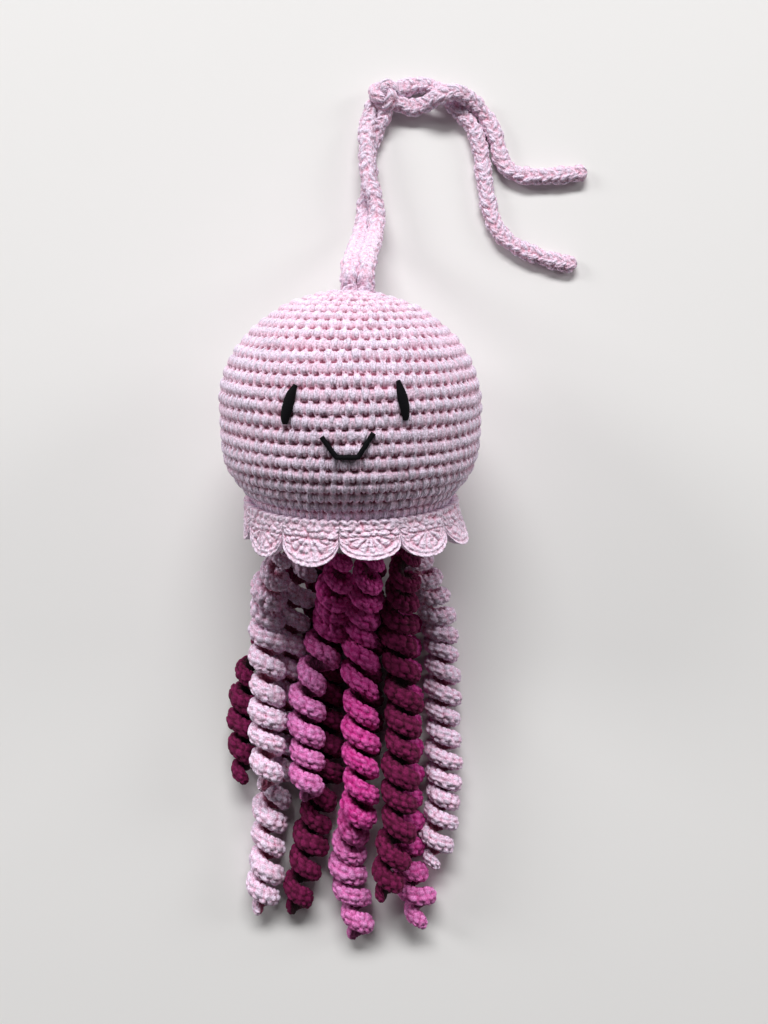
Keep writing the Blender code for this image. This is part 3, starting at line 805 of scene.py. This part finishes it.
def make_frill():
    columns = SCALLOPS * SCALLOP_STEPS + 1
    step = np.arange(columns)
    turn = SCALLOP_TURN + TAU * step / (columns - 1)
    local = (step % SCALLOP_STEPS) / SCALLOP_STEPS
    whole = step / SCALLOP_STEPS
    arch = (1 - np.abs(2 * local - 1) ** 2.2) ** 0.55
    longer = 1 + (np.array(SCALLOP_LENGTHS)[(step // SCALLOP_STEPS) % SCALLOPS] - 1) * arch
    half = FRILL_THICKNESS / 2
    neck = float(body_radius(-FRILL_START))
    # The skirt stands out in front and on its right side, and lies in on its left side
    stand = 0.48 + 0.50 * np.sin(turn) + 0.46 * np.cos(turn)
    unruly = wander(FRILL_WANDER_SEED, turn)

    def ring(share, offset, relief):
        reach = share * (FRILL_REACH * longer - NOTCH_DEPTH * (1 - arch)) * (1 + 0.03 * unruly)
        gathers = ridge(NECK_STITCHES * local + 0.3 * unruly) * np.clip(1 - share / 0.12, 0, 1)
        reach = reach - GATHER_DEPTH * gathers
        wave = 1.9 * FRILL_WAVE * share * (2 * arch - 1)
        flare = stand * (FRILL_FLARE * share**FRILL_CURL + wave) + 0.0005 * share * unruly
        radius = neck + SEAT_GAP + half + flare + offset * half + relief
        own = np.stack([radius * np.sin(turn), -radius * np.cos(turn), -FRILL_START - reach], axis=1)
        own = above_floor(own, half + FLOOR_GAP + offset * half * 0.9)
        return to_world(own[:, 0], own[:, 1], own[:, 2])

    rows, shade_height, run = [], [], []
    bent_local = (local + 0.020 * np.sin(3 * TAU * local) * wander(FRILL_WANDER_SEED + 1, turn)) % 1
    edge = 1 - NOTCH_DEPTH / FRILL_REACH * (1 - arch)
    layers = []
    for share in np.linspace(0, 1, FRILL_OUTER_ROWS):
        bend = 0.022 * wander(FRILL_WANDER_SEED + 2, turn, np.full(columns, 5 * share))
        bend = bend * math.sin(math.pi * share)
        margin = (1 - share) * edge * FRILL_REACH
        relief = shell_relief(bent_local, whole, share * edge + bend, margin)
        layers.append((share, 1.0, SHELL_RELIEF, relief))
    for share in np.linspace(1, 0, FRILL_INNER_ROWS):
        relief = lumps(local * NECK_STITCHES, np.full(columns, 3 * share + 7), INNER_SEED)
        layers.append((share, -1.0, -INNER_RELIEF, relief))
    for share, offset, depth, relief in layers:
        rows.append(ring(share, offset, depth * (relief - 0.45)))
        shade_height.append(relief)
        run.append(np.full(columns, 8.5 * share))
    # Rows of the grid are columns of the frill, so that the band closes over its own edges
    points = np.array(rows).transpose(1, 0, 2)
    fields = {"shade_height": np.array(shade_height).T, "leg": np.array([whole * 13] * len(rows)).T, "run": np.array(run).T}
    frill = grid_mesh("frill_shells", points, FRILL_YARN, fields)
    weld(frill)
    dress(frill, "head_yarn", "frill")


# Tentacles

def base_point(turn, radius, depth):
    down = np.array([0, -math.cos(BODY_TILT), -math.sin(BODY_TILT)])
    front = np.array([0, -math.sin(BODY_TILT), math.cos(BODY_TILT)])
    out = np.array([1.0, 0, 0]) * math.cos(turn) + front * math.sin(turn)
    return np.array([0, 0, REST_HEIGHT]) + down * (BASE_DEPTH + BASE_EDGE + depth) + out * radius


def course_point(reached, stops):
    y = base_point(0, 0, 0)[1] - reached * TENTACLE_REACH
    for (near, lane_a, level_a), (far, lane_b, level_b) in zip(stops, stops[1:]):
        if reached <= far or far == stops[-1][0]:
            share = float(ease((reached - near) / (far - near)))
            lane = lane_a + (lane_b - lane_a) * share
            level = level_a + (level_b - level_a) * share
            x = MIDDLE_LANE_X + (lane - MIDDLE_LANE) * LANE_WIDTH
            return np.array([x, y, COIL_RADIUS + level * LANE_WIDTH])


def strip_half(reach):
    return STRIP_THICKNESS / 2 * np.minimum(1, reach / COIL_RADIUS + SLIM_STRIP)


def tentacle_axis(root_turn, stops):
    turn = math.radians(root_turn)
    root_depth = float(strip_half(ROOT_COIL_RADIUS)) + SEAT_GAP
    root = base_point(turn, BASE_RADIUS - ROOT_MARGIN, root_depth)
    along = base_point(turn, BASE_RADIUS - ROOT_MARGIN, SPREAD_SHARE * TENTACLE_REACH)
    points = []
    for reached in np.linspace(0, stops[-1][0], AXIS_STEPS + 1):
        start = root + (along - root) * (reached / SPREAD_SHARE)
        share = float(ease(reached / SPREAD_SHARE))
        points.append(start + (course_point(reached, stops) - start) * share)
    return np.array(points)


def winding(distance, pitch, rng):
    """The coil's turn at each distance: loose by the head and not wound evenly."""
    uneven = 0
    for size, rate in UNEVEN_TURNS:
        uneven = uneven + size * np.sin(distance * rate + rng.uniform(0, TAU))
    slack = LOOSENING * LOOSE_LENGTH / 3 * (1 - np.clip(1 - distance / LOOSE_LENGTH, 0, 1) ** 3)
    return uneven - TAU * (distance - slack) / pitch


def strip_section():
    """Angles round the strip's section, close together on the side that shows."""
    shown = np.linspace(-SHOWN_ANGLE, SHOWN_ANGLE, SHOWN_POINTS)
    hidden = np.linspace(SHOWN_ANGLE, TAU - SHOWN_ANGLE, HIDDEN_POINTS + 2)[1:-1]
    return np.concatenate([shown, hidden])


def make_tentacle(name, seed):
    tone, root_turn, pitch, stops = TENTACLES[name]
    manner = MANNERS.get(name, {})
    axis = tentacle_axis(root_turn, stops)
    along = arc_lengths(axis)
    length = along[-1]
    distance = np.linspace(0, length, int(round(POINTS_PER_STITCH * COIL_STITCHES * length / pitch)) + 1)
    gone = distance / length
    middle = at_lengths(distance, along, axis)
    ahead = unit(np.gradient(middle, axis=0))
    side, up = level_axes(ahead)
    rng = np.random.default_rng(seed)
    turn = winding(distance, pitch, rng)
    out = side * np.cos(turn)[:, None] + up * np.sin(turn)[:, None]

    # The coil's reach grows from the root, closes at the tip and swells here and there
    opening = ease(distance / OPENING_LENGTH)
    closing = ease((length - distance) / TIP_LENGTH)
    reach = ROOT_COIL_RADIUS + (COIL_RADIUS - ROOT_COIL_RADIUS) * opening
    reach = reach * (FULL_TIP_SHARE + (1 - FULL_TIP_SHARE) * closing)
    size, rate = UNEVEN_REACH
    reach = reach * (1 + size * np.sin(distance * rate + rng.uniform(0, TAU)))
    full_again = ease((gone - FULL_FROM) / FULL_OVER)
    slim = 1 - manner.get("slim", 0) * ease(gone / SLIM_FROM) * (1 - full_again)
    reach = reach * slim
    sway = np.array(manner.get("sway", STRAIGHT))
    middle[:, 0] += smooth_steps(gone, sway[:, 0], sway[:, 1])
    middle[:, 2] += smooth_steps(gone, sway[:, 0], sway[:, 2])

    # The strip, round at both ends, thinner where the coil is loose
    ends = np.sqrt(np.clip((length - distance) / TIP_ROUNDING, 0.02, 1))
    ends = ends * np.sqrt(np.clip(distance / ROOT_ROUNDING, 0.02, 1))
    loose = 1 - ease(distance / LOOSE_LENGTH)
    fullness = manner.get("fullness", COIL_FULLNESS) * (1 - 0.24 * loose)
    size, rate = UNEVEN_THICKNESS
    fullness = fullness * (1 + size * np.sin(distance * rate + seed))
    thick = strip_half(reach) * fullness * ends
    core = COIL_CORE * slim * closing * opening
    phi = strip_section()
    cos_s, sin_s = squared_circle(phi, COIL_SQUARENESS)
    stitch, row = np.meshgrid(-turn / TAU * COIL_STITCHES, phi / TAU * COIL_ROWS, indexing="ij")
    lump = lumps(stitch, row, seed, rows=COIL_ROWS)
    outer = 0.30 + 0.70 * ease((np.cos(phi)[None, :] + 0.9) / 1.1)
    relief = COIL_RELIEF * (lump - 0.70) * outer * np.clip(reach / COIL_RADIUS, 0.5, 1)[:, None]
    radial = ((reach + core) / 2)[:, None] + ((reach - core) / 2 * ends)[:, None] * cos_s[None, :]
    radial = radial + relief * np.cos(phi)[None, :]
    axial = thick[:, None] * sin_s[None, :] + relief * np.sin(phi)[None, :]
    lean_root, lean_tip = manner.get("lean", COIL_LEAN)
    lean = lean_root + (lean_tip - lean_root) * distance / length
    axial = axial + (lean * np.cos(turn))[:, None] * radial
    points = middle[:, None, :] + out[:, None, :] * radial[..., None] + ahead[:, None, :] * axial[..., None]
    points[..., 2] = np.maximum(points[..., 2], FLOOR_GAP)

    # Hot pink turns paler towards the tips, most on the raised parts of the stitches
    paler = 1.1 * ease((gone - manner.get("tinge", NO_TINGE)) / TINGE_OVER)
    # Painted shade: the height that sets the colour falls towards the strip's inner side, so the coil's
    # inside and the gaps between its turns come out dark
    fields = {
        "shade_height": np.clip(lump * (0.20 + 0.80 * ease((np.cos(phi)[None, :] + 0.60) / 1.1)), 0, 1),
        "along": np.repeat(paler[:, None], len(phi), axis=1),
        "leg": 1.25 * stitch + 0.6 * row,
        "run": 0.95 * row - 0.5 * stitch,
    }
    piece = grid_mesh(name + "_coil", points, TENTACLE_YARN[tone], fields, True, True)
    dress(piece, TENTACLE_SLOTS[tone], name)


# Ties

def make_ribbon(name, stops, seed, far_end):
    node = "tie_" + name
    route, at = smooth_route(stops, RIBBON_STEP)
    first = unit(route[1] - route[0])
    lead = np.array(LEAD_IN)
    route = np.vstack([route[0] - first * lead[:, None], route])
    at = np.concatenate([-lead, at])
    if far_end == "knot":
        inward = np.array(KNOT_PLACE) - route[-1]
        share = np.arange(1, 9)[:, None] / 12
        last = unit(route[-1] - route[-2]) * np.linalg.norm(inward)
        route = np.vstack([route, route[-1] + share * (inward * share + last * (1 - share))])
        at = arc_lengths(route) - lead[0]
    if node in STRAP_SWAY:
        route[:, 0] += smooth_steps(route[:, 1], STRAP_SWAY_AT, STRAP_SWAY[node])
    side, up = level_axes(unit(np.gradient(route, axis=0)))
    phi = TAU * np.arange(RIBBON_SECTION) / RIBBON_SECTION
    cos_s, sin_s = squared_circle(phi, RIBBON_SQUARENESS)
    stitch, row = np.meshgrid(at / RIBBON_STITCH, phi / TAU * CHAIN_ROWS, indexing="ij")
    stitch = stitch + LINK_POINT * np.abs(np.cos(phi))[None, :]
    lump = lumps(stitch, row, seed, rows=CHAIN_ROWS, jitter=0.16)
    relief = RIBBON_RELIEF * (lump - 0.72)
    wobble = 1
    for order, (size, rate) in enumerate(UNEVEN_WIDTH, 1):
        wobble = wobble + size * np.sin(at * rate + order * seed)
    end_length = RUN_INTO_KNOT if far_end == "knot" else BARE_END
    closing = np.sqrt(np.clip((at[-1] - at) / end_length, 0.04, 1))[:, None]
    wide = (RIBBON_WIDTH / 2) * RIBBON_FULLNESS * closing * wobble[:, None]
    thick = RIBBON_HALF_THICK * closing
    x = wide * cos_s[None, :] + relief * np.cos(phi)[None, :]
    z = thick * sin_s[None, :] + relief * np.sin(phi)[None, :]
    points = route[:, None, :] + side[:, None, :] * x[..., None] + up[:, None, :] * z[..., None]
    points[..., 2] = np.maximum(points[..., 2], FLOOR_GAP)
    fields = {"shade_height": np.clip(lump, 0, 1), "leg": 2.4 * row, "run": 2.2 * stitch}
    piece = grid_mesh(name, points, TIE_YARN, fields, True, True)
    dress(piece, "tie_yarn", node)


def make_bights():
    """The knot: a ribbon drawn tight in three crossing bights round its own heart."""
    t = TAU * np.arange(BIGHT_STEPS + 1) / BIGHT_STEPS
    swing = BIGHT_SWING + BIGHT_REACH * np.cos(3 * t)
    round_heart = 2 * t + 0.5
    rise = BIGHT_RISE * np.sin(3 * t)
    route = np.stack([swing * np.cos(round_heart), swing * np.sin(round_heart), rise], axis=1)
    route = route + np.array(BIGHTS_CENTRE)
    ahead = unit(np.gradient(route, axis=0))
    ahead[0] = ahead[-1] = unit(route[1] - route[-2])
    side, up = level_axes(ahead)
    at = arc_lengths(route)
    phi = TAU * np.arange(BIGHT_SECTION) / BIGHT_SECTION
    wrap = round(at[-1] / BIGHT_STITCH)
    stitch, row = np.meshgrid(at / at[-1] * wrap, phi / TAU * CHAIN_ROWS, indexing="ij")
    stitch = stitch + LINK_POINT * np.abs(np.cos(phi))[None, :]
    lump = lumps(stitch % wrap, row, KNOT_SEED, rows=CHAIN_ROWS)
    relief = BIGHT_RELIEF * (lump - 0.7)
    x = (BIGHT_HALF_WIDTH + relief) * np.cos(phi)[None, :]
    z = (BIGHT_HALF_THICK + relief) * np.sin(phi)[None, :]
    points = route[:, None, :] + side[:, None, :] * x[..., None] + up[:, None, :] * z[..., None]
    points[..., 2] = np.maximum(points[..., 2], FLOOR_GAP)
    fields = {"shade_height": np.clip(lump, 0, 1), "leg": 2.4 * row, "run": 2.2 * stitch}
    knot = grid_mesh("knot", points, TIE_YARN, fields)
    weld(knot)
    dress(knot, "tie_yarn", "tie_knot")


def make_heart():
    """The ball of stitches that closes the knot's middle."""
    tilt, spin = np.meshgrid(np.linspace(0.02, math.pi - 0.02, 30), TAU * np.arange(48) / 48, indexing="ij")
    lump = lumps(spin / TAU * 8, tilt / math.pi * 4, HEART_SEED)
    radius = HEART_RADIUS + HEART_RELIEF * (lump - 0.7)
    outward = np.stack([np.sin(tilt) * np.cos(spin), np.sin(tilt) * np.sin(spin), np.cos(tilt)], axis=-1)
    points = radius[..., None] * outward + np.array(BIGHTS_CENTRE)
    fields = {"shade_height": np.clip(lump, 0, 1), "leg": 16 * spin / TAU, "run": 6 * tilt}
    heart = grid_mesh("knot_heart", points, TIE_YARN, fields, True, True)
    return dress(heart, "tie_yarn", "tie_knot")


# Studio

def make_floor():
    material, _, _ = new_material("floor", {"Base Color": FLOOR_COLOUR, "Roughness": 0.9})
    mesh = bpy.data.meshes.new("floor")
    corners = [(x * FLOOR_HALF, y * FLOOR_HALF, 0) for x, y in ((-1, -1), (1, -1), (1, 1), (-1, 1))]
    mesh.from_pydata(corners, [], [(0, 1, 2, 3)])
    mesh.materials.append(material)
    add_object("floor", mesh)


def make_lamp(name, place, aim, size, power):
    light = bpy.data.lights.new(name, "AREA")
    light.shape = "ELLIPSE"
    light.size, light.size_y = size
    light.energy = power
    lamp = add_object(name, light)
    lamp.location = place
    lamp.rotation_euler = (Vector(aim) - Vector(place)).to_track_quat("-Z", "Y").to_euler()


def make_world():
    """Weak light from all round; what is seen past the floor is as pale as the floor."""
    world = bpy.data.worlds.new("studio")
    world.use_nodes = True
    tree = world.node_tree
    ambient = tree.nodes["Background"]
    ambient.inputs["Color"].default_value = AMBIENT_COLOUR
    ambient.inputs["Strength"].default_value = AMBIENT_STRENGTH
    backdrop = node_of(tree, "ShaderNodeBackground", {"Color": FLOOR_COLOUR})
    ray = node_of(tree, "ShaderNodeLightPath", {}).outputs
    seen = calculate(tree, "MAXIMUM", ray["Is Camera Ray"], ray["Is Glossy Ray"])
    seen = calculate(tree, "MAXIMUM", seen, ray["Is Transmission Ray"])
    chosen = node_of(tree, "ShaderNodeMixShader", {0: seen, 1: ambient.outputs[0], 2: backdrop.outputs[0]})
    tree.links.new(chosen.outputs[0], tree.nodes["World Output"].inputs["Surface"])
    bpy.context.scene.world = world


def make_camera():
    camera = bpy.data.cameras.new("camera")
    camera.sensor_width = CAMERA_SENSOR
    camera.lens = CAMERA_LENS
    camera.clip_start = 0.01
    eye = add_object("camera", camera)
    eye.location = CAMERA_PLACE
    bpy.context.scene.camera = eye


make_floor()
for lamp_name, settings in LAMPS.items():
    make_lamp(lamp_name, *settings)
make_world()
bpy.context.scene.view_settings.view_transform = "Standard"
make_camera()

make_bights()
knot_heart = make_heart()
make_ribbon("strap_over", STRAP_OVER, 21, "knot")
make_ribbon("strap_under", STRAP_UNDER, 22, "knot")
make_ribbon("tail_over", TAIL_OVER, 23, "bare")
make_ribbon("tail_under", TAIL_UNDER, 24, "bare")
make_head()
make_face()
make_frill()
for index, tentacle in enumerate(TENTACLES):
    make_tentacle(tentacle, COIL_SEED + index)
